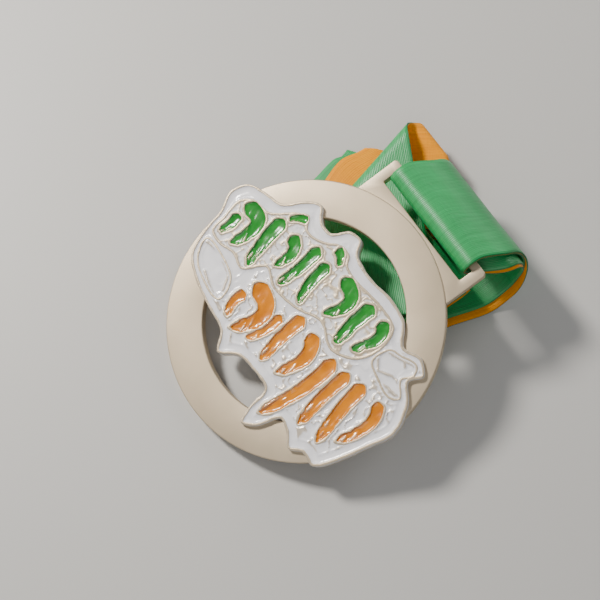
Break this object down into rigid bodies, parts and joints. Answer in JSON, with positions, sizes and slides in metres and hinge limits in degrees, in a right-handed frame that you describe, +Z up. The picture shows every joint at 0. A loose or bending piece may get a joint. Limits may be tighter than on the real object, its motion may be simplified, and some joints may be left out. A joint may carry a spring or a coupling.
{
  "type": "sports finisher medal",
  "caption": "Round ring medal with a raised enamelled paint-splash plaque and a slotted lug that swings on a folded two-colour neck ribbon.",
  "frame": {"origin": "on the table, straight below the middle of the lug's bar", "axes": "+X along the bar, +Y from the medal towards the ribbon's big fold, +Z up"},
  "size_m": [0.0738, 0.0925, 0.0256],
  "materials": {
    "satin_nickel": "satin nickel plating with a soft pearl grain",
    "white_enamel": "glossy soft enamel",
    "green_enamel": "glossy soft enamel",
    "orange_enamel": "glossy soft enamel",
    "ribbon_satin": "green satin weave with an orange reverse",
    "ribbon_reverse": "orange satin reverse",
    "thread": "matte polyester thread"
  },
  "bodies": {
    "ribbon": {"ribbon_bar_loop": "ribbon_satin", "ribbon_c_fold": "ribbon_satin", "ribbon_pack": "ribbon_satin", "ribbon_lobe_rear": "ribbon_reverse", "ribbon_lobe_front": "ribbon_reverse", "seam_stitching_upper": "thread", "seam_stitching_lower": "thread"},
    "medal": {"medal_ring": "satin_nickel", "splash_plaque": "satin_nickel", "white_enamel_border": "white_enamel", "white_enamel_patch": "white_enamel", "white_enamel_drips": "white_enamel", "green_enamel_crest": "green_enamel", "green_enamel_dab_left": "green_enamel", "green_enamel_blade_1": "green_enamel", "green_enamel_fleck_1": "green_enamel", "green_enamel_comma_1": "green_enamel", "green_enamel_blade_2": "green_enamel", "green_enamel_fleck_2": "green_enamel", "green_enamel_blade_3": "green_enamel", "green_enamel_comma_2": "green_enamel", "green_enamel_blade_4": "green_enamel", "green_enamel_comma_3": "green_enamel", "orange_enamel_flame": "orange_enamel", "orange_enamel_dab_left": "orange_enamel", "orange_enamel_dab_mid": "orange_enamel", "orange_enamel_blade_1": "orange_enamel", "orange_enamel_comma_1": "orange_enamel", "orange_enamel_drip": "orange_enamel", "orange_enamel_blade_2": "orange_enamel", "orange_enamel_blade_3": "orange_enamel", "orange_enamel_comma_2": "orange_enamel"}
  },
  "joints": [
    {"name": "medal_swing", "type": "hinge", "parent": "ribbon", "child": "medal", "pos_m": [0, 0, 0.02231], "axis": [-1, 0, 0], "range_deg": [0, 130]}
  ]
}
